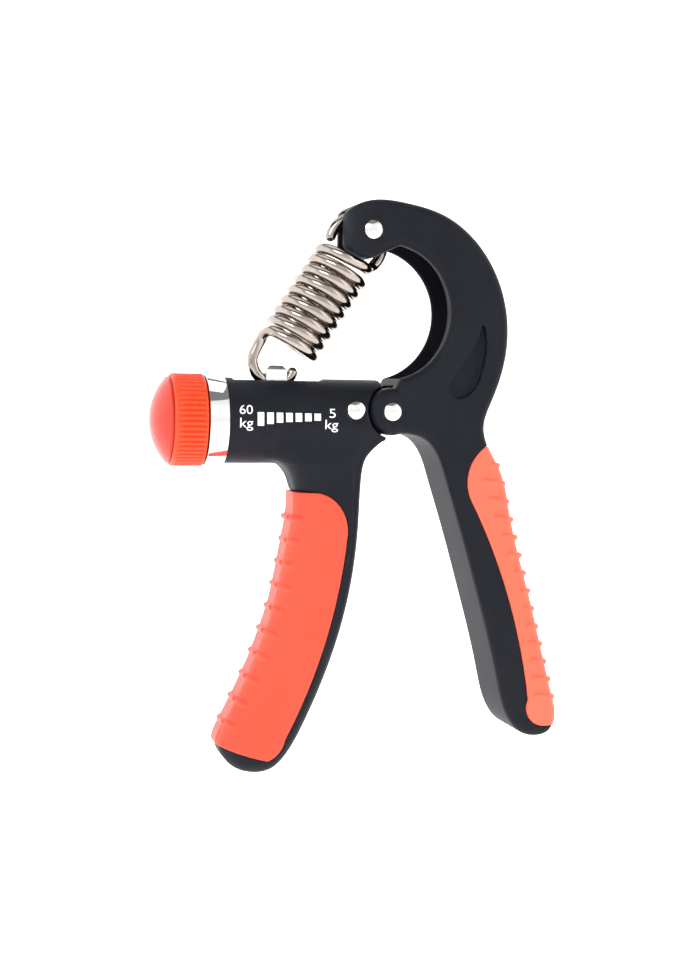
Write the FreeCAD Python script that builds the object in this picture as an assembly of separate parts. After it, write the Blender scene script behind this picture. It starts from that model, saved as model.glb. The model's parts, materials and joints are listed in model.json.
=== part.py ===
import FreeCAD, Part
import os
from math import cos, pi, radians, sin

# Hand grip strengthener. Sizes in mm. Drawn with the lever's pivot at the origin,
# +X along the adjuster tube to the lever, +Z up, -Y the front. At the end the whole
# grip is tipped so that it stands on both handle ends.

V = FreeCAD.Vector

TILT_DEG = 5.626          # tip that puts both handle ends on one level
HALF_FACE = 10.8        # half thickness of the flat plastic parts
HALF_GRIP = 11.2        # half thickness over the soft covers
COVER_PROUD = 0.8       # cover's stand-out from the hard plastic on its outer side
COVER_DEPTH = 2.3       # hard core's step back under a cover

TUBE_Z = -2.95          # height of the adjuster's axis
TUBE_R = 11.45
TUBE_LEFT = -44.5
BORE_R = 8.0
BORE_END = -17.0
SPIGOT_LEFT = -49.7     # end of the tube's neck, under the bright ring
SPIGOT_R = 10.8

HUB_R = 6.4             # lever's cheeks round the pivot
HUB_SEAT_R = 7.0        # body's round seat beside the cheeks
TONGUE_R = 6.2
TONGUE_HALF = 5.0
CHEEK_INNER = 5.5
PIVOT_PIN_R = 2.0
PIVOT_BUSH_R = 2.9
RUNNING_GAP = 0.05

RIVET_HEAD_R = 2.5
RIVET_HEAD_H = 0.9
RIVET_SEAT_R = 2.9
RIVET_SEAT_DEPTH = 0.4
BODY_RIVET = (-10.2, 0.1)
BODY_RIVET_R = 1.5
BODY_RIVET_FACE = 11.0
SPRING_PIN = (-6.2, 48.3)
SPRING_PIN_R = 1.85

ARM_IN_CENTRE = (-1.6, 27.1)
RIB_EDGE_R = 20.1       # inner edge of the arm's middle rib
GROOVE_R = 23.6         # floor of the grooves beside the rib
RIB_HALF = 2.0
FLANGE_INNER = 7.8
NOSE_R = 8.0            # corners of the arm's end seen from above
NOSE_X = -4.8
NOSE_SIDE = HALF_FACE - NOSE_R

KNOB_LEFT = -59.0
KNOB_RIGHT = -50.0
KNOB_R = 12.3
KNOB_GROOVES = 54
SCREW_R = 2.3
SCREW_TIP = -13.3
SCREW_HEAD = -57.4

HOOK_CENTRE = (-30.4, 12.0)   # low hook's centre, on the spring's axis
WIRE_R = 1.5
HOOK_R = 5.2
COIL_R = 7.4
COIL_START = 6.2        # coil's first point, measured along the axis from the low hook
COIL_TURNS = 7.5
END_TURNS = 8.12
LOOP_CENTRE = 39.6
PITCH = 3.34
NUT_HALF = 5.0
LUG_HALF = 2.8
LUG_TOP = 11.9


def point(xz, y=0.0):
    return V(xz[0], y, xz[1])


def outline(start, steps):
    """Flat face from a start point and steps: one end point makes a line, a middle and an
    end point make an arc, and a longer list makes a smooth curve through its points."""
    edges = []
    last = start
    for step in steps:
        ends = [last] + step
        if len(ends) == 2:
            edges.append(Part.makeLine(point(ends[0]), point(ends[1])))
        elif len(ends) == 3:
            edges.append(Part.Arc(point(ends[0]), point(ends[1]), point(ends[2])).toShape())
        else:
            curve = Part.BSplineCurve()
            curve.interpolate([point(p) for p in ends])
            edges.append(curve.toShape())
        last = step[-1]
    return Part.Face(Part.Wire(edges))


def slab(face, half, start=None):
    """Extrude a flat face evenly to both sides, or from one Y to another."""
    low = -half if start is None else start
    solid = face.copy()
    solid.translate(V(0, low, 0))
    return solid.extrude(V(0, half - low, 0))


def rim_edges(solid, keep):
    """Edges lying on either flat side of a slab whose middle passes the test."""
    side = solid.BoundBox.YMax
    found = []
    for edge in solid.Edges:
        box = edge.BoundBox
        flat = box.YLength < 0.01 and abs(abs(box.YMax) - side) < 0.01
        if flat and keep(edge.CenterOfMass):
            found.append(edge)
    return found


def disc(xz, radius, y0, y1):
    return Part.makeCylinder(radius, y1 - y0, point(xz, y0), V(0, 1, 0))


def block(x0, x1, y0, y1, z0, z1):
    return Part.makeBox(x1 - x0, y1 - y0, z1 - z0, V(x0, y0, z0))


def rod(radius, x0, x1):
    """Round bar on the adjuster's axis."""
    return Part.makeCylinder(radius, x1 - x0, V(x0, 0, TUBE_Z), V(1, 0, 0))


def cone(radius0, radius1, x0, x1):
    return Part.makeCone(radius0, radius1, x1 - x0, V(x0, 0, TUBE_Z), V(1, 0, 0))


def domed_head(xz, face_y):
    """Low round rivet head standing on a face on the +Y side."""
    ball_r = (RIVET_HEAD_R ** 2 + RIVET_HEAD_H ** 2) / (2 * RIVET_HEAD_H)
    ball = Part.makeSphere(ball_r, point(xz, face_y + RIVET_HEAD_H - ball_r))
    return ball.common(disc(xz, RIVET_HEAD_R, face_y, face_y + RIVET_HEAD_H))


def mirrored(solid):
    return solid.mirror(V(0, 0, 0), V(0, 1, 0))


def rivet(xz, shank_r, face_y):
    """Shank with a domed head seated in a shallow recess on each side."""
    seat = face_y - RIVET_SEAT_DEPTH
    head = domed_head(xz, seat)
    shank = disc(xz, shank_r, -seat, seat)
    return shank.fuse([head, mirrored(head)]).removeSplitter()


def rivet_seats(xz, face_y):
    seat = disc(xz, RIVET_SEAT_R, face_y - RIVET_SEAT_DEPTH, face_y + 2)
    return [seat, mirrored(seat)]


def handle_face(proud):
    """Body's handle, with its outer side moved out by proud."""
    foot = [(-27.3, -92.5), (-31.2, -96.1), (-36.5, -97.0), (-41.9, -95.1)]
    inner = [(-5.1, -10.6), (-6.9, -14.2), (-7.5, -18.0), (-8.1, -31.0), (-10.9, -51.8),
             (-15.7, -68.2), (-22.7, -84.6)]
    outer = [(-45.1, -89.5), (-42.9, -83.4), (-35.5, -68.0), (-29.8, -51.5), (-26.6, -35.2),
             (-25.3, -21.5), (-27.2, -16.3)]
    outer = [(x - proud, z) for x, z in outer]
    return outline((-2.9, -7.9), [
        inner + foot + outer + [(-32.4, -13.2)],
        [(-25.0, -4.0)],
        [(-2.0, -4.0)],
        [(-2.9, -7.9)],
    ])


def body_grip_region():
    """Area of the body's cover seen from the front, carried out past the outer side."""
    return outline((-60.0, -21.9), [
        [(-19.8, -21.9)],
        [(-16.5, -23.3), (-13.8, -26.2), (-12.1, -32.5)],
        [(-15.2, -52.0), (-28.4, -87.6)],
        [(-30.2, -91.3), (-33.0, -93.2)],
        [(-39.5, -91.6), (-60.0, -82.0)],
        [(-60.0, -21.9)],
    ])


def body_handle():
    """Hard handle with its edges rounded, as a full slab."""
    solid = slab(handle_face(0.0), HALF_FACE)
    edges = rim_edges(solid, lambda middle: middle.z < -15)
    return solid.makeFillet(5.0, edges)


def body_core(handle):
    """Part of the hard handle that fills the cover."""
    shifted = handle.copy()
    shifted.translate(V(COVER_DEPTH, 0, 0))
    inner = handle.common(shifted)
    return inner.common(slab(body_grip_region(), HALF_GRIP - 1.9))


def left_grip_cover(core):
    solid = slab(handle_face(COVER_PROUD), HALF_GRIP)
    edges = rim_edges(solid, lambda middle: middle.z < -15)
    solid = solid.makeFillet(4.0, edges)
    return solid.common(slab(body_grip_region(), HALF_GRIP + 1)).cut(core)


def pivot_block():
    """Flat-sided end of the tube beside the lever's hub, with rounded top edges."""
    solid = block(-20.0, -1.5, -HALF_FACE, HALF_FACE, -6.0, 5.6)
    edges = [edge for edge in solid.Edges
             if abs(edge.BoundBox.XMax + 20.0) < 0.1 and edge.BoundBox.ZLength > 5]
    solid = solid.makeFillet(8.0, edges)
    top = solid.BoundBox.ZMax - 0.01
    edges = [edge for edge in solid.Edges
             if edge.BoundBox.ZMin > top and edge.BoundBox.XMin < -2]
    return solid.makeFillet(4.5, edges)


def handle_underside():
    """Space to the right of the handle and below the pivot block."""
    face = outline((-2.6, -7.8), [
        [(-5.3, -10.9), (-7.3, -16.0)],
        [(6.0, -16.0)],
        [(6.0, -7.8)],
        [(-2.6, -7.8)],
    ])
    return slab(face, 13)


def main_housing(handle, core):
    """Tube, pivot tongue and handle core in one moulding."""
    grip_region = slab(body_grip_region(), HALF_GRIP + 1)
    solid = rod(TUBE_R, TUBE_LEFT, -1.5).cut(handle_underside())
    solid = solid.fuse([rod(SPIGOT_R, SPIGOT_LEFT, TUBE_LEFT), pivot_block(),
                        handle.cut(grip_region), core])
    seat = disc((0, 0), HUB_SEAT_R, TONGUE_HALF, 13)
    end = block(-1.9, 8, -13, 13, -16, 12)
    solid = solid.cut([seat, mirrored(seat), end])
    tongue = disc((0, 0), TONGUE_R, -TONGUE_HALF, TONGUE_HALF)
    solid = solid.fuse(tongue.cut(block(-12, -6, -6, 6, -8, 8)))
    bore = rod(BORE_R, SPIGOT_LEFT - 1, BORE_END)
    pocket = rod(3.2, BORE_END - 1, -7.4)
    slot = block(-42.0, -17.4, -3.2, 3.2, TUBE_Z + 3, 12)
    rivet_hole = disc(BODY_RIVET, BODY_RIVET_R, -13, 13)
    bush_hole = disc((0, 0), PIVOT_BUSH_R, -13, 13)
    cuts = [bore, pocket, slot, rivet_hole, bush_hole]
    return solid.cut(cuts + rivet_seats(BODY_RIVET, BODY_RIVET_FACE)).removeSplitter()


def lever_face():
    """Lever seen from the front: hub, C-shaped arm and handle in one outline."""
    nose = [(-8.4, 40.9), (-12.2, 43.4), (-13.8, 48.3), (-12.2, 53.4), (-7.7, 56.0)]
    arm = [(3.0, 55.9), (13.6, 53.1), (24.7, 44.3), (31.3, 31.0), (32.5, 20.1), (28.5, 3.6)]
    outer = [(26.2, -4.0), (27.6, -9.3), (31.0, -15.5), (34.0, -27.0), (40.8, -52.0),
             (47.6, -77.5)]
    foot = [(48.7, -84.0), (46.9, -88.2), (43.0, -89.3), (38.4, -88.0), (34.6, -83.4)]
    inner = [(31.5, -73.1), (25.5, -50.4), (19.1, -29.0), (15.6, -18.2), (12.9, -11.2),
             (9.3, -7.3), (5.2, -6.1)]
    return outline((2.5, -5.89), [
        [(-HUB_R, 0.0), (1.0, 6.32)],
        [(2.2, 9.0)],
        [(16.0, 27.1), (1.5, 44.4)],
        [(-4.2, 41.7)],
        nose + arm + outer + foot + inner + [(2.5, -5.89)],
    ])


def lever_grip_region():
    """Area of the lever's cover seen from the front, carried out past the outer side."""
    return outline((60.0, -9.0), [
        [(26.4, -9.0)],
        [(21.9, -14.8), (22.3, -23.6)],
        [(34.2, -52.0), (40.1, -78.9)],
        [(41.2, -84.8), (45.5, -86.2)],
        [(60.0, -86.2)],
        [(60.0, -9.0)],
    ])


def lever_slab(half, radius):
    solid = slab(lever_face(), half)
    return solid.makeFillet(radius, rim_edges(solid, lambda middle: True))


def lever_core(full):
    """Part of the hard lever that fills the cover."""
    face = lever_face()
    face.translate(V(-COVER_DEPTH - COVER_PROUD, 0, 0))
    inner = slab(face, HALF_GRIP - 1.6).common(slab(lever_grip_region(), HALF_GRIP))
    return full.common(inner)


def right_grip_cover(core):
    solid = lever_slab(HALF_GRIP, 2.4)
    return solid.common(slab(lever_grip_region(), HALF_GRIP + 1)).cut(core)


def arm_hollows():
    """Grooves each side of the arm's middle rib, and the gap in front of the rib."""
    top = block(1.5, 40, -13, 13, 30, 52)
    rib_reach = block(2.6, 40, -13, 13, 3, 44.6).fuse(top)
    groove_reach = block(6.5, 40, -13, 13, 3, 44.6).fuse(top)
    cuts = [disc(ARM_IN_CENTRE, RIB_EDGE_R, -FLANGE_INNER, FLANGE_INNER).common(rib_reach)]
    for start, end in ((-FLANGE_INNER, -RIB_HALF), (RIB_HALF, FLANGE_INNER)):
        cuts.append(disc(ARM_IN_CENTRE, GROOVE_R, start, end).common(groove_reach))
    return cuts


def teardrop(side):
    """Long drop-shaped recess in the arm's flat face."""
    face = outline((24.6, 24.9), [
        [(25.9, 20.0), (25.4, 13.5), (22.0, 5.6), (18.3, 3.7)],
        [(16.2, 5.2), (16.3, 8.4)],
        [(19.6, 13.4), (22.6, 18.3), (24.6, 24.9)],
    ])
    return slab(face, side * 13, side * (HALF_FACE - 1.8))


def spring_clevis():
    """Slot in the arm's end for the spring's top loop."""
    centre = along(LOOP_CENTRE)
    throat = block(-20, 1.4, -2.2, 2.2, 36, centre.z + 2)
    return disc((centre.x, centre.z), COIL_R + 2.0, -2.2, 2.2).fuse(throat)


def nose_corners():
    """Corners cut from the arm's end, which is rounded seen from above."""
    solid = block(-20, NOSE_X, -13, 13, 36, 62)
    kept = [block(NOSE_X - NOSE_R, NOSE_X, -NOSE_SIDE, NOSE_SIDE, 36, 62)]
    for side in (-NOSE_SIDE, NOSE_SIDE):
        kept.append(Part.makeCylinder(NOSE_R, 26, V(NOSE_X, side, 36), V(0, 0, 1)))
    return solid.cut(kept)


def lever_frame(full, core):
    """C-shaped arm, pivot cheeks and handle core in one moulding."""
    solid = full.cut(slab(lever_grip_region(), HALF_GRIP + 1)).fuse(core)
    tongue_slot = disc((0, 0), HUB_R + 0.6, -CHEEK_INNER, CHEEK_INNER)
    cuts = arm_hollows() + [spring_clevis(), tongue_slot, nose_corners()]
    cuts += [teardrop(1), mirrored(teardrop(1))]
    cuts += [disc((0, 0), PIVOT_PIN_R, -13, 13), disc(SPRING_PIN, SPRING_PIN_R, -13, 13)]
    cuts += rivet_seats((0, 0), HALF_FACE) + rivet_seats(SPRING_PIN, HALF_FACE)
    return solid.cut(cuts).removeSplitter()


def pivot_bush():
    bush = disc((0, 0), PIVOT_BUSH_R, -TONGUE_HALF, TONGUE_HALF)
    return bush.cut(disc((0, 0), PIVOT_PIN_R + RUNNING_GAP, -TONGUE_HALF, TONGUE_HALF))


def pivot_washers():
    """Thin washer inside each cheek."""
    washer = disc((0, 0), 5.0, CHEEK_INNER - 0.4, CHEEK_INNER)
    washer = washer.cut(disc((0, 0), PIVOT_PIN_R, 0, 8))
    return Part.makeCompound([washer, mirrored(washer)])


def collar_ring():
    """Bright ring over the tube's neck."""
    return cone(12.25, 11.6, SPIGOT_LEFT, TUBE_LEFT).cut(rod(SPIGOT_R, SPIGOT_LEFT, TUBE_LEFT))


def end_plug():
    """Disc that closes the bore behind the knob and carries the screw."""
    return rod(BORE_R, -49.3, -46.4).cut(rod(SCREW_R + RUNNING_GAP, -50, -46))


def thrust_washer():
    return rod(6.0, -49.9, -49.3).cut(rod(SCREW_R + 0.3, -50, -49))


def end_bearing():
    """Bush that carries the screw's tip, held by the rivet through its tail."""
    solid = rod(3.2, BORE_END, -7.4)
    blind = rod(SCREW_R + RUNNING_GAP, BORE_END - 1, SCREW_TIP + 0.3)
    return solid.cut([blind, disc(BODY_RIVET, BODY_RIVET_R, -6, 6)])


def knob_shell():
    """Ribbed ring with a hub on the screw."""
    solid = rod(KNOB_R, KNOB_LEFT, KNOB_RIGHT - 0.4)
    solid = solid.fuse(cone(KNOB_R, KNOB_R - 0.4, KNOB_RIGHT - 0.4, KNOB_RIGHT))
    cuts = [rod(9.6, -56.0, KNOB_RIGHT).cut(rod(4.6, -56.0, KNOB_RIGHT))]
    cuts += [rod(SCREW_R, SCREW_HEAD, KNOB_RIGHT), rod(6.0, KNOB_LEFT, SCREW_HEAD)]
    for index in range(KNOB_GROOVES):
        turn = 2 * pi * index / KNOB_GROOVES
        y = (KNOB_R + 0.1) * cos(turn)
        z = TUBE_Z + (KNOB_R + 0.1) * sin(turn)
        cuts.append(Part.makeCylinder(0.42, 8.0, V(KNOB_LEFT - 0.2, y, z), V(1, 0, 0)))
    return solid.cut(cuts)


def knob_cap():
    """Domed cover on the knob's end, with a round spigot into the knob."""
    height = 4.4
    base_r = 11.5
    ball_r = (base_r ** 2 + height ** 2) / (2 * height)
    ball = Part.makeSphere(ball_r, V(KNOB_LEFT - 0.6 - height + ball_r, 0, TUBE_Z))
    dome = ball.common(rod(base_r, KNOB_LEFT - 6, KNOB_LEFT - 0.6))
    return dome.fuse([rod(base_r, KNOB_LEFT - 0.6, KNOB_LEFT),
                      rod(6.0, KNOB_LEFT, SCREW_HEAD)]).removeSplitter()


def lead_screw():
    groove = rod(SCREW_R + 1, -45.9, -45.3).cut(rod(SCREW_R - 0.4, -46, -45))
    return rod(SCREW_R, SCREW_HEAD, SCREW_TIP).cut(groove)


def retaining_ring():
    """Snap ring in the screw's groove, behind the end plug."""
    return rod(4.2, -45.9, -45.3).cut(rod(SCREW_R - 0.4, -46, -45))


def hook_loop(radius):
    return Part.makeTorus(HOOK_R, radius, point(HOOK_CENTRE), V(0, 1, 0))


def traveller_nut():
    """Nut that slides in the tube, with a lug up through the slot for the spring."""
    x = HOOK_CENTRE[0]
    nut = rod(BORE_R - 0.3, x - NUT_HALF, x + NUT_HALF)
    lug = block(x - LUG_HALF, x + LUG_HALF, -LUG_HALF, LUG_HALF, TUBE_Z, LUG_TOP)
    top_edges = [edge for edge in lug.Edges if edge.BoundBox.ZMin > LUG_TOP - 0.1]
    lug = lug.makeChamfer(1.1, top_edges)
    shaft = rod(SCREW_R + RUNNING_GAP, x - 6, x + 6)
    return nut.fuse(lug).cut([shaft, hook_loop(WIRE_R + 0.25)]).removeSplitter()


def spring_axis():
    way = point(SPRING_PIN) - point(HOOK_CENTRE)
    return way.normalize()


def along(distance, side=0.0):
    """Point at a distance up the spring's axis and to its right side, in the middle plane."""
    axis = spring_axis()
    right = V(axis.z, 0, -axis.x)
    return point(HOOK_CENTRE) + axis * distance + right * side


def wire(path):
    """Round wire along a path."""
    edge = path.Edges[0]
    start = edge.valueAt(edge.FirstParameter)
    way = edge.tangentAt(edge.FirstParameter)
    ring = Part.Wire(Part.makeCircle(WIRE_R, start, way))
    return Part.Wire(path).makePipeShell([ring], True, False)


def coil(first, last):
    """Wire from one turn to another, counted from the coil's left side."""
    solid = wire(Part.makeHelix(PITCH, (last - first) * PITCH, COIL_R))
    lean = FreeCAD.Rotation(V(0, 0, 1), spring_axis())
    spin = FreeCAD.Rotation(V(0, 0, 1), 180 + 360 * first)
    solid.Placement = FreeCAD.Placement(along(COIL_START + first * PITCH), lean.multiply(spin))
    return solid


def arc_wire(centre, radius, start_deg, end_deg):
    """Round wire bent in the middle plane; angles run from the spring's right to its top."""
    edge = Part.makeCircle(radius, V(0, 0, 0), V(0, 0, 1), start_deg, end_deg)
    axis = spring_axis()
    right = V(axis.z, 0, -axis.x)
    edge.Placement = FreeCAD.Placement(along(centre), FreeCAD.Rotation(right, axis, V(0, -1, 0)))
    return wire(edge)


def spring_lower_hook():
    """Neck from the coil's left side, round under the hook's centre and up to the tip."""
    points = [along(COIL_START - WIRE_R - 0.1, -COIL_R), along(1.4, -7.1), along(-2.4, -5.9),
              along(-4.8, -3.0)]
    for angle in range(270, 376, 21):
        points.append(along(HOOK_R * sin(radians(angle)), HOOK_R * cos(radians(angle))))
    curve = Part.BSplineCurve()
    curve.interpolate(points)
    return wire(curve.toShape())


def spring_upper_hook():
    return arc_wire(LOOP_CENTRE, COIL_R, -12.0, 205.0)


def stand_up(solids):
    """Tip the grip on to its handle ends and put the origin under its middle."""
    for solid in solids.values():
        solid.rotate(V(0, 0, 0), V(0, 1, 0), TILT_DEG)
    box = Part.makeCompound(list(solids.values())).optimalBoundingBox(False)
    move = V(-box.Center.x, -box.Center.y, -box.ZMin)
    for solid in solids.values():
        solid.translate(move)
    return move


def build():
    handle = body_handle()
    core = body_core(handle)
    full_lever = lever_slab(HALF_FACE, 2.4)
    grip_core = lever_core(full_lever)
    return {
        "main_housing": main_housing(handle, core),
        "left_grip_cover": left_grip_cover(core),
        "collar_ring": collar_ring(),
        "end_plug": end_plug(),
        "thrust_washer": thrust_washer(),
        "end_bearing": end_bearing(),
        "body_rivet": rivet(BODY_RIVET, BODY_RIVET_R, BODY_RIVET_FACE),
        "pivot_bush": pivot_bush(),
        "lever_frame": lever_frame(full_lever, grip_core),
        "right_grip_cover": right_grip_cover(grip_core),
        "pivot_rivet": rivet((0, 0), PIVOT_PIN_R, HALF_FACE),
        "pivot_washers": pivot_washers(),
        "spring_pin": rivet(SPRING_PIN, SPRING_PIN_R, HALF_FACE),
        "knob_shell": knob_shell(),
        "knob_cap": knob_cap(),
        "lead_screw": lead_screw(),
        "retaining_ring": retaining_ring(),
        "traveller_nut": traveller_nut(),
        "spring_lower_hook": spring_lower_hook(),
        "spring_coil": coil(0, COIL_TURNS),
        "spring_end_turn": coil(COIL_TURNS, END_TURNS),
        "spring_upper_hook": spring_upper_hook(),
    }


os.makedirs("parts", exist_ok=True)
parts = build()
move = stand_up(parts)
print("pivot moved by", move)
for name, solid in parts.items():
    box = solid.BoundBox
    print(name, solid.isValid(), len(solid.Solids), round(solid.Volume, 1),
          round(box.XLength, 1), round(box.YLength, 1), round(box.ZLength, 1))
    solid.exportStep("parts/" + name + ".step")
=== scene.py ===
import json
from math import asin, cos, pi, radians, sin, sqrt

import bmesh
import bpy
from mathutils import Matrix, Vector
from mathutils.geometry import interpolate_bezier


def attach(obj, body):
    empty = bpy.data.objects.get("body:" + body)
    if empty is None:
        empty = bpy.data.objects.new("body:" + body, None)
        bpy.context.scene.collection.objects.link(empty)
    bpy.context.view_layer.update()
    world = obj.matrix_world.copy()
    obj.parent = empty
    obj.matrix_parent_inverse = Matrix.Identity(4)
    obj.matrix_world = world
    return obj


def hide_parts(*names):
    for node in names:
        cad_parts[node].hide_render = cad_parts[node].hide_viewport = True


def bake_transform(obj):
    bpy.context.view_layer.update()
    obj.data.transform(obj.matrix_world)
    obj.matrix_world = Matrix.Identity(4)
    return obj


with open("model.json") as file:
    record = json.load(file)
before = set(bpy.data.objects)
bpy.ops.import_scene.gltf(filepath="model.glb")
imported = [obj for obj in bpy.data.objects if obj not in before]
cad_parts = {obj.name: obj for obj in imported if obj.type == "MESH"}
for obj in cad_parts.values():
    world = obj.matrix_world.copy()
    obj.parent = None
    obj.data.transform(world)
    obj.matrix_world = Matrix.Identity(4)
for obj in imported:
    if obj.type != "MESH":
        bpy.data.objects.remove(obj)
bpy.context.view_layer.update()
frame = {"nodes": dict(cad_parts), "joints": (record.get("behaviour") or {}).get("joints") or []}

# Lengths below are in millimetres in the drawing frame of the grip: the lever's pivot is
# at the origin, +X runs along the tube to the lever, +Z is up and -Y is the front.
# drawn() turns such a point into the row frame in metres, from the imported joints.

JOINTS = {joint["name"]: joint for joint in frame["joints"]}
PIVOT = Vector(JOINTS["lever_squeeze"]["pos_m"])
ALONG = Vector(JOINTS["traveller_slide"]["axis"]).normalized()
ACROSS = Vector(JOINTS["lever_squeeze"]["axis"]).normalized()
UPWARD = ALONG.cross(ACROSS)
DRAWING = Matrix.Translation(PIVOT) @ Matrix((ALONG, ACROSS, UPWARD)).transposed().to_4x4()
DRAWING = DRAWING @ Matrix.Scale(0.001, 4)
TO_DRAWING = DRAWING.inverted()

SPRING_WAY = (TO_DRAWING.to_3x3() @ Vector(JOINTS["spring_stretch"]["axis"])).normalized()
SPRING_SIDE = Vector((SPRING_WAY.z, 0, -SPRING_WAY.x))
HOOK_CENTRE = TO_DRAWING @ Vector(JOINTS["spring_swing"]["pos_m"])

TUBE_Z = -2.95
TUBE_R = 11.45
KNOB_R = 12.3
HALF_GRIP = 11.2
WIRE_R = 1.5
HOOK_R = 5.2
COIL_R = 7.4
COIL_START = 6.2
COIL_PITCH = 3.34
LOOP_CENTRE = 39.6


def drawn(x, y, z):
    return DRAWING @ Vector((x, y, z))


# ---------------------------------------------------------------- materials

def new_material(name):
    material = bpy.data.materials.new(name)
    material.use_nodes = True
    tree = material.node_tree
    return material, tree, tree.nodes["Principled BSDF"]


def grain(tree, shader, scale, strength, distance):
    """Fine moulded or worn surface as a bump."""
    place = tree.nodes.new("ShaderNodeTexCoord")
    noise = tree.nodes.new("ShaderNodeTexNoise")
    noise.inputs["Scale"].default_value = scale
    noise.inputs["Detail"].default_value = 3.0
    bump = tree.nodes.new("ShaderNodeBump")
    bump.inputs["Strength"].default_value = strength
    bump.inputs["Distance"].default_value = distance
    tree.links.new(place.outputs["Object"], noise.inputs["Vector"])
    tree.links.new(noise.outputs["Fac"], bump.inputs["Height"])
    tree.links.new(bump.outputs["Normal"], shader.inputs["Normal"])
    return place


def varied(tree, place, socket, low, high, scale):
    """Slow noise between two values or colours on one socket."""
    noise = tree.nodes.new("ShaderNodeTexNoise")
    noise.inputs["Scale"].default_value = scale
    noise.inputs["Detail"].default_value = 4.0
    tree.links.new(place.outputs["Object"], noise.inputs["Vector"])
    ramp = tree.nodes.new("ShaderNodeValToRGB")
    ramp.color_ramp.elements[0].position = 0.3
    ramp.color_ramp.elements[1].position = 0.7
    ramp.color_ramp.elements[0].color = low
    ramp.color_ramp.elements[1].color = high
    tree.links.new(noise.outputs["Fac"], ramp.inputs["Fac"])
    tree.links.new(ramp.outputs["Color"], socket)


def plastic(name, colour, second, roughness, grain_strength, shine=0.3):
    material, tree, shader = new_material(name)
    shader.inputs["Roughness"].default_value = roughness
    shader.inputs["Specular IOR Level"].default_value = shine
    place = grain(tree, shader, 3200.0, grain_strength, 0.0002)
    varied(tree, place, shader.inputs["Base Color"], colour, second, 60.0)
    return material


def rubber(name, colour, second, roughness):
    material, tree, shader = new_material(name)
    shader.inputs["Roughness"].default_value = roughness
    shader.inputs["Specular IOR Level"].default_value = 0.28
    shader.inputs["Sheen Weight"].default_value = 0.08
    shader.inputs["Sheen Roughness"].default_value = 0.5
    place = grain(tree, shader, 2600.0, 0.10, 0.0002)
    varied(tree, place, shader.inputs["Base Color"], colour, second, 35.0)
    return material


def metal(name, colour, second, roughness, grain_strength=0.02):
    material, tree, shader = new_material(name)
    shader.inputs["Metallic"].default_value = 1.0
    shader.inputs["Roughness"].default_value = roughness
    place = grain(tree, shader, 900.0, grain_strength, 0.0001)
    varied(tree, place, shader.inputs["Base Color"], colour, second, 120.0)
    return material


def plain(name, colour, roughness):
    material, tree, shader = new_material(name)
    shader.inputs["Base Color"].default_value = colour
    shader.inputs["Roughness"].default_value = roughness
    grain(tree, shader, 1500.0, 0.03, 0.0001)
    return material


BLACK = plastic("black_plastic", (0.0075, 0.0085, 0.0125, 1), (0.0095, 0.0108, 0.0155, 1),
                0.50, 0.05, shine=0.11)
SOFT_RED = rubber("soft_red", (0.69, 0.064, 0.029, 1), (0.73, 0.072, 0.034, 1), 0.48)
SOFT_CORAL = rubber("soft_coral", (0.79, 0.124, 0.066, 1), (0.83, 0.134, 0.074, 1), 0.50)
KNOB_RED = plastic("knob_red", (0.72, 0.058, 0.014, 1), (0.76, 0.066, 0.017, 1), 0.40, 0.03)
CAP_RED = plastic("cap_red", (0.58, 0.034, 0.018, 1), (0.62, 0.040, 0.022, 1), 0.26, 0.02)
CHROME = metal("mirror_chrome", (0.86, 0.86, 0.85, 1), (0.90, 0.90, 0.89, 1), 0.06)
NICKEL = metal("nickel", (0.80, 0.77, 0.73, 1), (0.85, 0.82, 0.78, 1), 0.14)
SPRING_STEEL = metal("spring_wire", (0.33, 0.285, 0.255, 1), (0.39, 0.34, 0.31, 1), 0.11)
ZINC = metal("zinc", (0.82, 0.83, 0.84, 1), (0.90, 0.91, 0.92, 1), 0.38, 0.06)
STEEL = metal("steel", (0.52, 0.52, 0.52, 1), (0.60, 0.60, 0.60, 1), 0.28, 0.06)
BRASS = metal("brass", (0.70, 0.50, 0.22, 1), (0.76, 0.56, 0.27, 1), 0.30, 0.05)
NYLON = plastic("nylon", (0.72, 0.70, 0.64, 1), (0.76, 0.74, 0.68, 1), 0.45, 0.03)
PRINT = plain("white_print", (0.90, 0.90, 0.90, 1), 0.5)


# ---------------------------------------------------------------- mesh helpers

def add_object(name, mesh, material):
    obj = bpy.data.objects.new(name, mesh)
    bpy.context.scene.collection.objects.link(obj)
    mesh.materials.clear()
    mesh.materials.append(material)
    return obj


def smooth(mesh, angle=None):
    """Smooth shading, kept sharp where faces meet at more than the angle."""
    mesh.shade_smooth()
    if angle is not None:
        mesh.set_sharp_from_angle(angle=radians(angle))


def grid_mesh(name, rings, closed_ends=True):
    """Closed tube through rings of points, in drawing millimetres."""
    count = len(rings[0])
    verts = [DRAWING @ p for ring in rings for p in ring]
    faces = []
    for i in range(len(rings) - 1):
        for k in range(count):
            a = i * count + k
            b = i * count + (k + 1) % count
            faces.append((a, b, b + count, a + count))
    if closed_ends:
        faces.append(tuple(reversed(range(count))))
        last = (len(rings) - 1) * count
        faces.append(tuple(range(last, last + count)))
    mesh = bpy.data.meshes.new(name)
    mesh.from_pydata(verts, [], faces)
    work = bmesh.new()
    work.from_mesh(mesh)
    bmesh.ops.recalc_face_normals(work, faces=work.faces)
    work.to_mesh(mesh)
    work.free()
    return mesh


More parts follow.
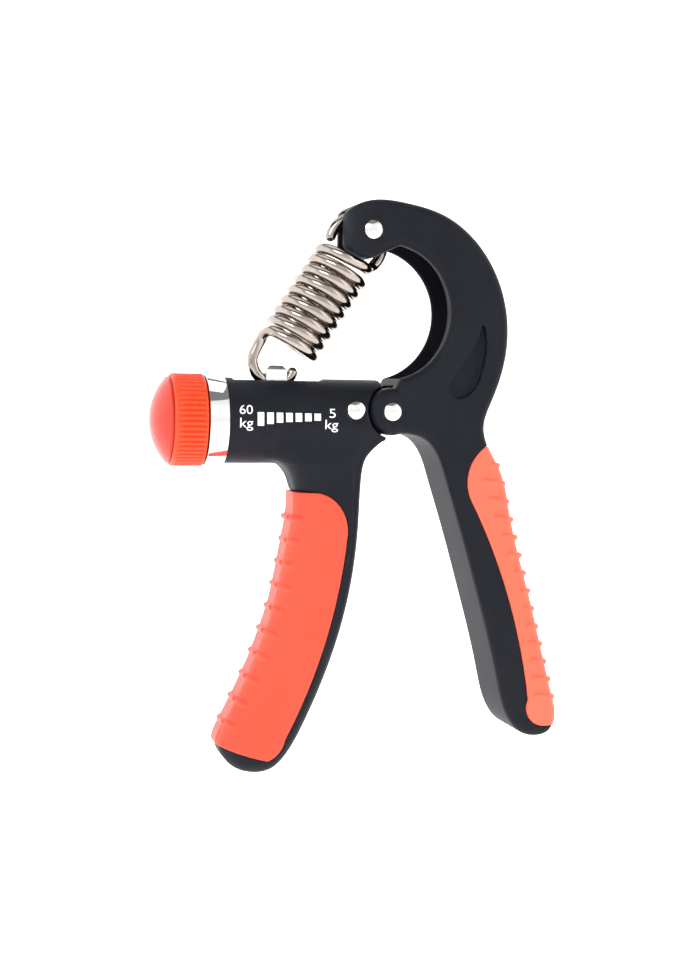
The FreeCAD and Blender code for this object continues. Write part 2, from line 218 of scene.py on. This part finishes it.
def lathe(name, profile, segments, ripple=None):
    """Solid of revolution on the tube's axis. The profile is a closed list of (x, radius);
    ripple(angle, x, radius) gives the radius at an angle."""
    rings = []
    for k in range(segments):
        angle = 2 * pi * k / segments
        ring = []
        for x, radius in profile:
            r = ripple(angle, x, radius) if ripple else radius
            ring.append(Vector((x, r * cos(angle), TUBE_Z + r * sin(angle))))
        rings.append(ring)
    rings.append(rings[0])
    mesh = grid_mesh(name, rings, closed_ends=False)
    work = bmesh.new()
    work.from_mesh(mesh)
    bmesh.ops.remove_doubles(work, verts=work.verts, dist=1e-7)
    bmesh.ops.recalc_face_normals(work, faces=work.faces)
    work.to_mesh(mesh)
    work.free()
    return mesh


# A round bar's end: distance past the last point and radius there, as shares of the radius.
ROUND_END = [(0.35, 0.94), (0.7, 0.71), (0.95, 0.3)]


def tube_rings(points, radius, sides):
    """Rings of a round bar along points, with rounded ends."""
    count = len(points)
    ways = []
    for i in range(count):
        before = points[max(i - 1, 0)]
        after = points[min(i + 1, count - 1)]
        ways.append((after - before).normalized())
    side = ways[0].orthogonal().normalized()
    head = [(points[0] - ways[0] * radius * d, ways[0], radius * s) for d, s in reversed(ROUND_END)]
    middle = [(points[i], ways[i], radius) for i in range(count)]
    tail = [(points[-1] + ways[-1] * radius * d, ways[-1], radius * s) for d, s in ROUND_END]
    rings = []
    for centre, way, r in head + middle + tail:
        side = (side - way * side.dot(way)).normalized()
        other = way.cross(side)
        rings.append([centre + (side * cos(2 * pi * k / sides) + other * sin(2 * pi * k / sides)) * r
                      for k in range(sides)])
    return rings


def through(points, steps):
    """Smooth line through points, with a number of steps between each two."""
    ends = [points[0] * 2 - points[1]] + points + [points[-1] * 2 - points[-2]]
    line = []
    for i in range(1, len(ends) - 2):
        before, start, end, after = ends[i - 1], ends[i], ends[i + 1], ends[i + 2]
        first = start + (end - before) / 6
        second = end - (after - start) / 6
        line += interpolate_bezier(start, first, second, end, steps + 1)[:-1]
    return line + [points[-1]]


def joined(name, meshes):
    """One mesh from several."""
    work = bmesh.new()
    for mesh in meshes:
        work.from_mesh(mesh)
    made = bpy.data.meshes.new(name)
    work.to_mesh(made)
    work.free()
    return made


def easing(obj, centre, radius):
    """Vertex group that fades out away from a ball round a point of the drawing."""
    group = obj.vertex_groups.new(name="ease_region")
    middle = drawn(*centre)
    for vert in obj.data.vertices:
        share = 1.6 * (1 - (vert.co - middle).length / (radius * 0.001))
        if share > 0:
            group.add([vert.index], min(share, 1.0), "REPLACE")
    return group


def apply_modifiers(obj):
    """Replace the mesh by what its modifiers make of it."""
    bpy.context.view_layer.update()
    final = bpy.data.meshes.new_from_object(obj.evaluated_get(bpy.context.evaluated_depsgraph_get()))
    obj.modifiers.clear()
    obj.data = final


def remeshed(name, meshes, voxel, rounds, material, regions=()):
    """Even skin over several closed meshes, with its corners eased. Each region is a centre,
    a radius in millimetres and a number of further rounds of smoothing there."""
    obj = add_object(name, joined(name, meshes), material)
    skin = obj.modifiers.new("skin", "REMESH")
    skin.mode = "VOXEL"
    skin.voxel_size = voxel
    ease = obj.modifiers.new("ease", "SMOOTH")
    ease.factor = 0.5
    ease.iterations = rounds
    apply_modifiers(obj)
    for centre, radius, more in regions:
        group = easing(obj, centre, radius)
        ease = obj.modifiers.new("ease", "SMOOTH")
        ease.factor = 0.9
        ease.iterations = more
        ease.vertex_group = group.name
        apply_modifiers(obj)
        obj.vertex_groups.clear()
    obj.data.materials.clear()
    obj.data.materials.append(material)
    smooth(obj.data)
    return obj


def cad_mesh(node):
    """Copy of a CAD part's mesh with its seams closed."""
    mesh = frame["nodes"][node].data.copy()
    work = bmesh.new()
    work.from_mesh(mesh)
    bmesh.ops.remove_doubles(work, verts=work.verts, dist=1e-6)
    work.to_mesh(mesh)
    work.free()
    return mesh


def mount(obj, body, nodes=()):
    """Fix a finished piece to its body and hide the CAD parts that it stands for."""
    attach(obj, body)
    if nodes:
        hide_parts(*nodes)
    return obj


# ---------------------------------------------------------------- hard plastic

SKIN_VOXEL = 0.00028
COVER_VOXEL = 0.00023

# Corners eased on the front and the back of the body: place, radius, rounds of smoothing.
BODY_CORNERS = [((-28.0, 9.0, -12.0), 13.0, 140), ((-18.0, 9.0, -8.5), 9.0, 100),
                ((-10.0, 10.0, -8.5), 6.5, 60), ((-17.5, 9.0, 3.0), 7.0, 80)]
BODY_EASED = [((x, side * y, z), radius, rounds)
              for (x, y, z), radius, rounds in BODY_CORNERS for side in (-1, 1)]


def hard_parts():
    body = remeshed("body_moulding", [cad_mesh("main_housing")], SKIN_VOXEL, 4, BLACK, BODY_EASED)
    round_handle(body)
    mount(body, "housing", ["main_housing"])
    lever = remeshed("lever_moulding", [cad_mesh("lever_frame")], SKIN_VOXEL, 4, BLACK)
    mount(lever, "lever", ["lever_frame"])


# ---------------------------------------------------------------- soft covers

def edge_at(curve, z):
    """X on a falling line of (x, z) points, and the slope there."""
    for (x0, z0), (x1, z1) in zip(curve, curve[1:]):
        if z0 >= z >= z1:
            part = (z0 - z) / (z0 - z1)
            return x0 + (x1 - x0) * part, (x1 - x0) / (z1 - z0)
    raise ValueError("height is outside the edge")


def wrapped_rib(base, inward, reach, corner, radius):
    """Rounded bar round the outer side that ends at a distance inward from it, on both faces."""
    first = 0.0
    front = []
    if reach > corner:
        front = [(reach + (corner - reach) * k / 4, -HALF_GRIP) for k in range(4)]
    else:
        first = asin((corner - reach) / corner)
    for k in range(9):
        angle = first + (pi / 2 - first) * k / 8
        front.append((corner - corner * sin(angle), corner - HALF_GRIP - corner * cos(angle)))
    path = front + [(n, -y) for n, y in reversed(front)]
    points = [base + inward * n + Vector((0, y, 0)) for n, y in path]
    return grid_mesh("rib", tube_rings(points, radius, 14))


# Outer edges of the two handles as (x, z), from the top down.
LEFT_OUTER = [(-26.1, -21.5), (-27.4, -35.2), (-30.6, -51.5), (-36.3, -68.0), (-43.7, -83.4),
              (-45.9, -89.5)]
RIGHT_OUTER = [(27.6, -9.3), (31.0, -15.5), (34.0, -27.0), (40.8, -52.0), (47.6, -77.5),
               (48.6, -84.0)]

LEFT_RIBS = 10
LEFT_RIB_TOP = -28.8
LEFT_RIB_PITCH = 6.08
LEFT_RIB_REACH = 2.2
RIGHT_RIBS = 14
RIGHT_RIB_TOP = -14.2
RIGHT_RIB_PITCH = 4.93
RIGHT_RIB_REACH = 1.8
RIGHT_RIB_GROWTH = 0.66
RIGHT_RIB_MIDDLE = 7.5

# The left handle's outer side is narrowed to a rounded edge, over SIDE_DEPTH inward from it.
SIDE_DEPTH = 14.0
SIDE_FLAT = 3.2
SIDE_CORNER = 4.0
SIDE_TOP = -14.0
SIDE_FADE = 8


def left_ribs():
    ribs = []
    for k in range(LEFT_RIBS):
        z = LEFT_RIB_TOP - LEFT_RIB_PITCH * k
        x, slope = edge_at(LEFT_OUTER, z)
        inward = Vector((1, 0, -slope)).normalized()
        ribs.append(wrapped_rib(Vector((x, 0, z)), inward, LEFT_RIB_REACH, SIDE_CORNER, 0.75))
    return ribs


def right_ribs():
    """Ribs that reach further in towards both ends of the handle, but for the first."""
    ribs = []
    for k in range(RIGHT_RIBS):
        z = RIGHT_RIB_TOP - RIGHT_RIB_PITCH * k
        x, slope = edge_at(RIGHT_OUTER, z)
        reach = RIGHT_RIB_REACH
        if k:
            reach += RIGHT_RIB_GROWTH * abs(k - RIGHT_RIB_MIDDLE)
        inward = Vector((-1, 0, 0.10))
        ribs.append(wrapped_rib(Vector((x, 0, z)), inward, reach, 2.4, 0.78))
    return ribs


def rounded_side(p):
    """Share of the handle's thickness kept at a point, so that its outer side is rounder."""
    z = min(max(p.z, LEFT_OUTER[-1][1]), LEFT_OUTER[0][1])
    x, slope = edge_at(LEFT_OUTER, z)
    inward = max((p.x - x) / sqrt(1 + slope * slope), 0.0)
    if inward >= SIDE_DEPTH or p.z > SIDE_TOP:
        return 1.0
    crown = sqrt(1 - (1 - inward / SIDE_DEPTH) ** 2)
    after = SIDE_FLAT + (HALF_GRIP - SIDE_FLAT) * crown
    before = HALF_GRIP
    if inward < SIDE_CORNER:
        before += sqrt(SIDE_CORNER ** 2 - (SIDE_CORNER - inward) ** 2) - SIDE_CORNER
    share = min(1.0, after / before)
    fade = min(1.0, (SIDE_TOP - p.z) / SIDE_FADE)
    return 1 + (share - 1) * fade


def round_handle(obj):
    """Give the left handle its rounder outer side."""
    for vert in obj.data.vertices:
        p = TO_DRAWING @ vert.co
        p.y *= rounded_side(p)
        vert.co = DRAWING @ p
    ease = obj.modifiers.new("ease", "SMOOTH")
    ease.factor = 0.5
    ease.iterations = 3
    apply_modifiers(obj)
    smooth(obj.data)


def soft_covers():
    solids = [cad_mesh("left_grip_cover")] + left_ribs()
    left = remeshed("left_cover", solids, COVER_VOXEL, 2, SOFT_RED)
    round_handle(left)
    mount(left, "housing", ["left_grip_cover"])
    solids = [cad_mesh("right_grip_cover")] + right_ribs()
    right = remeshed("right_cover", solids, COVER_VOXEL, 2, SOFT_CORAL)
    mount(right, "lever", ["right_grip_cover"])


# ---------------------------------------------------------------- knob and ring

KNOB_RIBS = 54
RIBBED_FROM = -57.4
RIBBED_TO = -50.8
GROOVE_DEPTH = 0.55
CAP_BASE = 11.5
CAP_HEIGHT = 4.4


def ribbing(angle, x, radius):
    """Narrow grooves between rounded ribs round the knob."""
    if radius < KNOB_R - 0.6 or x > RIBBED_TO or x < RIBBED_FROM:
        return radius
    groove = (0.5 + 0.5 * cos(KNOB_RIBS * angle)) ** 2.5
    return radius - GROOVE_DEPTH * groove


def ribbed_knob():
    profile = [(-58.9, 6.0), (-58.9, 11.4), (-58.8, 11.9), (-58.5, 12.2), (-58.1, KNOB_R)]
    profile += [(-58.1 + 7.0 * k / 6, KNOB_R) for k in range(1, 7)]
    profile += [(-50.9, KNOB_R), (-50.4, KNOB_R), (-50.1, 12.1), (-50.0, 11.8), (-50.0, 9.8),
                (-56.0, 9.6), (-56.0, 4.6), (-50.1, 4.6), (-50.1, 2.3), (-57.4, 2.3), (-57.4, 6.0)]
    knob = add_object("knob_ribs", lathe("knob_ribs", profile, KNOB_RIBS * 14, ribbing), KNOB_RED)
    smooth(knob.data, 38)
    mount(knob, "knob", ["knob_shell"])


def knob_dome():
    """Cap whose dome is part of a ball, CAP_HEIGHT high on a base of radius CAP_BASE."""
    ball = (CAP_BASE ** 2 + CAP_HEIGHT ** 2) / (2 * CAP_HEIGHT)
    top = asin(CAP_BASE / ball)
    centre = -59.6 - CAP_HEIGHT + ball
    profile = [(-57.4, 0.0001), (-57.4, 6.0), (-58.95, 6.0), (-58.95, 11.1), (-59.05, 11.4)]
    profile += [(-59.45, CAP_BASE), (-59.7, CAP_BASE - 0.05)]
    for k in range(1, 25):
        angle = top * (1 - k / 24) * 0.985
        profile.append((centre - ball * cos(angle), max(ball * sin(angle), 0.0001)))
    cap = add_object("knob_dome", lathe("knob_dome", profile, 144), CAP_RED)
    smooth(cap.data, 38)
    mount(cap, "knob", ["knob_cap"])


def bright_ring():
    profile = [(-49.7, 10.8), (-49.7, 12.1), (-49.6, 12.22), (-49.4, 12.25), (-44.75, 11.72),
               (-44.55, 11.68), (-44.5, 11.55), (-44.5, 10.8)]
    ring = add_object("bright_ring", lathe("bright_ring", profile, 160), CHROME)
    smooth(ring.data, 30)
    mount(ring, "housing", ["collar_ring"])


# ---------------------------------------------------------------- spring

# The coil's turns, counted from COIL_START: where it begins, ends and passes to the upper piece.
COIL_FROM = 0.16
COIL_TO = 8.22
COIL_SPLIT = 7.9


def on_spring(t, side, y=0.0):
    """Point at a distance along the spring from its lower hook's centre, and to its side."""
    return HOOK_CENTRE + SPRING_WAY * t + SPRING_SIDE * side + Vector((0, y, 0))


def hook_line():
    """Lower hook, and the wire's way from it to the coil."""
    points = []
    for degrees in range(372, 263, -8):
        angle = radians(degrees)
        points.append(on_spring(HOOK_R * sin(angle), HOOK_R * cos(angle)))
    points += [on_spring(-4.6, -3.2), on_spring(-2.3, -5.8), on_spring(0.5, -6.6),
               on_spring(3.0, -6.9, -0.3), on_spring(5.0, -7.2, -1.4)]
    return points


def coil_line(first, last, per_turn=56):
    count = int(round((last - first) * per_turn))
    points = []
    for k in range(count + 1):
        turn = first + (last - first) * k / count
        angle = 2 * pi * turn
        along = COIL_START + COIL_PITCH * turn
        points.append(on_spring(along, -COIL_R * cos(angle), -COIL_R * sin(angle)))
    return points


def loop_line():
    """The wire's way from the coil to the upper loop, and the loop round the pin."""
    points = [on_spring(34.9, 3.9, -5.4), on_spring(35.4, 6.2, -2.6), on_spring(36.9, 7.1, -0.5)]
    for degrees in range(-10, 206, 8):
        angle = radians(degrees)
        points.append(on_spring(LOOP_CENTRE + COIL_R * sin(angle), COIL_R * cos(angle)))
    return points


def spring_wire(name, points):
    wire = add_object(name, grid_mesh(name, tube_rings(points, WIRE_R, 24)), SPRING_STEEL)
    smooth(wire.data)
    return wire


def lower_wire():
    """Lower hook and most of the coil."""
    lead = through([*hook_line(), *coil_line(COIL_FROM - 0.08, COIL_FROM, 25)], 3)
    wire = spring_wire("spring_wire_low", lead[:-1] + coil_line(COIL_FROM, COIL_SPLIT))
    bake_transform(wire)
    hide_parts("spring_lower_hook", "spring_coil")


def upper_wire():
    """End of the coil and the upper loop."""
    coil = coil_line(COIL_SPLIT, COIL_TO)
    wire = spring_wire("spring_wire_top", coil[:-1] + through([coil[-1], *loop_line()], 4))
    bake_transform(wire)
    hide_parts("spring_end_turn", "spring_upper_hook")


# ---------------------------------------------------------------- print on the tube

def wrap_on_tube(mesh, lift):
    """Bend a flat drawing (x, z in mm) round the front of the tube as a thin solid."""
    work = bmesh.new()
    work.from_mesh(mesh)
    bmesh.ops.triangulate(work, faces=work.faces)
    for k in range(-30, 15):
        geometry = work.verts[:] + work.edges[:] + work.faces[:]
        bmesh.ops.bisect_plane(work, geom=geometry, plane_co=(0, k * 0.25, 0), plane_no=(0, 1, 0))
    bmesh.ops.remove_doubles(work, verts=work.verts, dist=1e-5)
    made = bmesh.ops.extrude_face_region(work, geom=work.faces[:])
    outer = set(part for part in made["geom"] if isinstance(part, bmesh.types.BMVert))
    for vert in work.verts:
        x, z = vert.co.x, vert.co.y
        radius = TUBE_R + (lift if vert in outer else -0.03)
        angle = (z - TUBE_Z) / TUBE_R
        vert.co = drawn(x, -radius * cos(angle), TUBE_Z + radius * sin(angle))
    bmesh.ops.recalc_face_normals(work, faces=work.faces)
    work.to_mesh(mesh)
    work.free()
    return mesh


def letters(text, x0, x1, low, high):
    """Flat outline of a word fitted between two X and from baseline to the top of its first letter."""
    curve = bpy.data.curves.new(text, "FONT")
    curve.body = text
    curve.resolution_u = 6
    holder = bpy.data.objects.new(text, curve)
    bpy.context.scene.collection.objects.link(holder)
    bpy.context.view_layer.update()
    mesh = bpy.data.meshes.new_from_object(holder)
    bpy.data.objects.remove(holder)
    xs = [v.co.x for v in mesh.vertices]
    top = max(v.co.y for v in mesh.vertices)
    wide = (x1 - x0) / (max(xs) - min(xs))
    tall = (high - low) / top
    left = min(xs)
    for v in mesh.vertices:
        v.co = Vector((x0 + (v.co.x - left) * wide, low + v.co.y * tall, 0))
    return mesh


def bar(x0, x1, low, high):
    """Flat rectangle."""
    mesh = bpy.data.meshes.new("bar")
    mesh.from_pydata([(x0, low, 0), (x1, low, 0), (x1, high, 0), (x0, high, 0)], [], [(0, 1, 2, 3)])
    return mesh


BAR_START = -37.15
BAR_PITCH = 2.545
BAR_WIDTH = 1.75
BAR_BOTTOMS = [-4.05, -3.55, -3.2, -3.0, -2.9, -2.75, -2.55]


def printed_scale():
    """Two loads in kilograms and seven bars between them, which get shorter."""
    marks = [letters("60", -41.9, -38.4, -1.0, 1.4), letters("kg", -41.8, -38.3, -4.55, -2.0),
             letters("5", -17.8, -16.1, -1.75, 0.65), letters("kg", -18.9, -15.4, -4.75, -2.3)]
    for k, low in enumerate(BAR_BOTTOMS):
        x = BAR_START + BAR_PITCH * k
        marks.append(bar(x, x + BAR_WIDTH, low, -0.5 - 0.03 * k))
    obj = add_object("printed_scale", wrap_on_tube(joined("printed_scale", marks), 0.03), PRINT)
    mount(obj, "housing")


# ---------------------------------------------------------------- pieces kept from the CAD

KEPT = {
    "end_plug": BLACK, "thrust_washer": NYLON, "end_bearing": BRASS, "body_rivet": NICKEL,
    "pivot_bush": NYLON, "pivot_rivet": NICKEL, "pivot_washers": NYLON, "spring_pin": NICKEL,
    "lead_screw": STEEL, "retaining_ring": STEEL, "traveller_nut": ZINC,
}


def kept_parts():
    for node, material in KEPT.items():
        mesh = frame["nodes"][node].data
        mesh.materials.clear()
        mesh.materials.append(material)


# ---------------------------------------------------------------- studio

def panel_light(name, at, target, size, power):
    light = bpy.data.lights.new(name, "AREA")
    light.shape = "RECTANGLE"
    light.size, light.size_y = size
    light.energy = power
    obj = bpy.data.objects.new(name, light)
    obj.location = at
    obj.rotation_euler = (Vector(target) - Vector(at)).to_track_quat("-Z", "Y").to_euler()
    bpy.context.scene.collection.objects.link(obj)


# The backdrop, in metres. Its floor lies a little low, because the lever's end swings below the
# resting level when the grip is squeezed.
FLOOR_Z = -0.0085
FLOOR_R = 1.3
WALL_BEND = 0.8
WALL_TOP = 2.4
BACKDROP_SIDES = 96


def studio_paper():
    """Pale paper that glows behind the grip, so that it stays white in soft light."""
    material, tree, shader = new_material("studio")
    shader.inputs["Base Color"].default_value = (0.90, 0.90, 0.90, 1)
    shader.inputs["Roughness"].default_value = 0.8
    shader.inputs["Emission Color"].default_value = (1, 1, 1, 1)
    place = tree.nodes.new("ShaderNodeTexCoord")
    split = tree.nodes.new("ShaderNodeSeparateXYZ")
    fade = tree.nodes.new("ShaderNodeMapRange")
    fade.inputs["From Min"].default_value = -0.60
    fade.inputs["From Max"].default_value = -0.20
    fade.inputs["To Min"].default_value = 0.10
    fade.inputs["To Max"].default_value = 0.88
    tree.links.new(place.outputs["Object"], split.inputs["Vector"])
    tree.links.new(split.outputs["Y"], fade.inputs["Value"])
    tree.links.new(fade.outputs["Result"], shader.inputs["Emission Strength"])
    return material


def backdrop():
    """Pale round floor that curves up into a wall on all sides."""
    profile = [(0.02, 0.0), (0.4, 0.0), (0.9, 0.0), (FLOOR_R, 0.0)]
    for k in range(1, 13):
        angle = pi / 2 * k / 12
        profile.append((FLOOR_R + WALL_BEND * sin(angle), WALL_BEND - WALL_BEND * cos(angle)))
    profile.append((FLOOR_R + WALL_BEND, WALL_TOP))
    turns = [2 * pi * k / BACKDROP_SIDES for k in range(BACKDROP_SIDES)]
    work = bmesh.new()
    rings = []
    for radius, z in profile:
        rings.append([work.verts.new((radius * cos(t), radius * sin(t), z + FLOOR_Z)) for t in turns])
    for inner, outer in zip(rings, rings[1:]):
        for k in range(BACKDROP_SIDES):
            after = (k + 1) % BACKDROP_SIDES
            work.faces.new((inner[k], outer[k], outer[after], inner[after]))
    work.faces.new(rings[0])
    mesh = bpy.data.meshes.new("backdrop")
    work.to_mesh(mesh)
    work.free()
    obj = add_object("backdrop", mesh, studio_paper())
    smooth(mesh)


def world_light():
    """Dim light that changes with height. Only what is above the backdrop's wall is seen."""
    world = bpy.data.worlds.new("studio_world")
    bpy.context.scene.world = world
    world.use_nodes = True
    tree = world.node_tree
    back = tree.nodes["Background"]
    place = tree.nodes.new("ShaderNodeTexCoord")
    split = tree.nodes.new("ShaderNodeSeparateXYZ")
    ramp = tree.nodes.new("ShaderNodeValToRGB")
    ramp.color_ramp.elements[0].position = 0.30
    ramp.color_ramp.elements[0].color = (0.75, 0.75, 0.75, 1)
    ramp.color_ramp.elements[1].position = 0.75
    ramp.color_ramp.elements[1].color = (0.95, 0.95, 0.97, 1)
    dark = ramp.color_ramp.elements.new(0.5)
    dark.color = (0.30, 0.30, 0.32, 1)
    tree.links.new(place.outputs["Generated"], split.inputs["Vector"])
    tree.links.new(split.outputs["Z"], ramp.inputs["Fac"])
    tree.links.new(ramp.outputs["Color"], back.inputs["Color"])
    back.inputs["Strength"].default_value = 0.25


def lights():
    middle = (0.0, 0.0, 0.08)
    panel_light("key", (-0.55, -0.75, 0.75), middle, (0.7, 0.5), 4.6)
    panel_light("fill", (0.85, -0.65, 0.30), middle, (0.35, 0.8), 1.8)
    panel_light("overhead", (0.0, 0.15, 1.15), middle, (1.0, 0.8), 3.4)
    panel_light("rim", (0.75, 0.75, 0.45), middle, (0.4, 0.8), 3.0)


CAMERA_AT = (-122.97, -435.47, 6.27)
CAMERA_WAY = Vector((0.2500, 0.9666, -0.0558))
CAMERA_RIGHT = Vector((0.9682, -0.2494, 0.0174))


def camera():
    """Camera placed in the drawing frame, so that it follows the grip's standing tilt."""
    data = bpy.data.cameras.new("camera")
    data.sensor_fit = "AUTO"
    data.sensor_width = 36.0
    data.lens = 61.95
    obj = bpy.data.objects.new("camera", data)
    up = CAMERA_RIGHT.cross(CAMERA_WAY).normalized()
    turn = Matrix((CAMERA_RIGHT, up, -CAMERA_WAY)).transposed()
    rotation = Matrix((ALONG, ACROSS, UPWARD)).transposed() @ turn
    obj.matrix_world = Matrix.Translation(drawn(*CAMERA_AT)) @ rotation.to_4x4()
    bpy.context.scene.collection.objects.link(obj)
    bpy.context.scene.camera = obj


hard_parts()
soft_covers()
ribbed_knob()
knob_dome()
bright_ring()
lower_wire()
upper_wire()
printed_scale()
kept_parts()
backdrop()
world_light()
lights()
camera()
bpy.context.scene.view_settings.view_transform = "Standard"
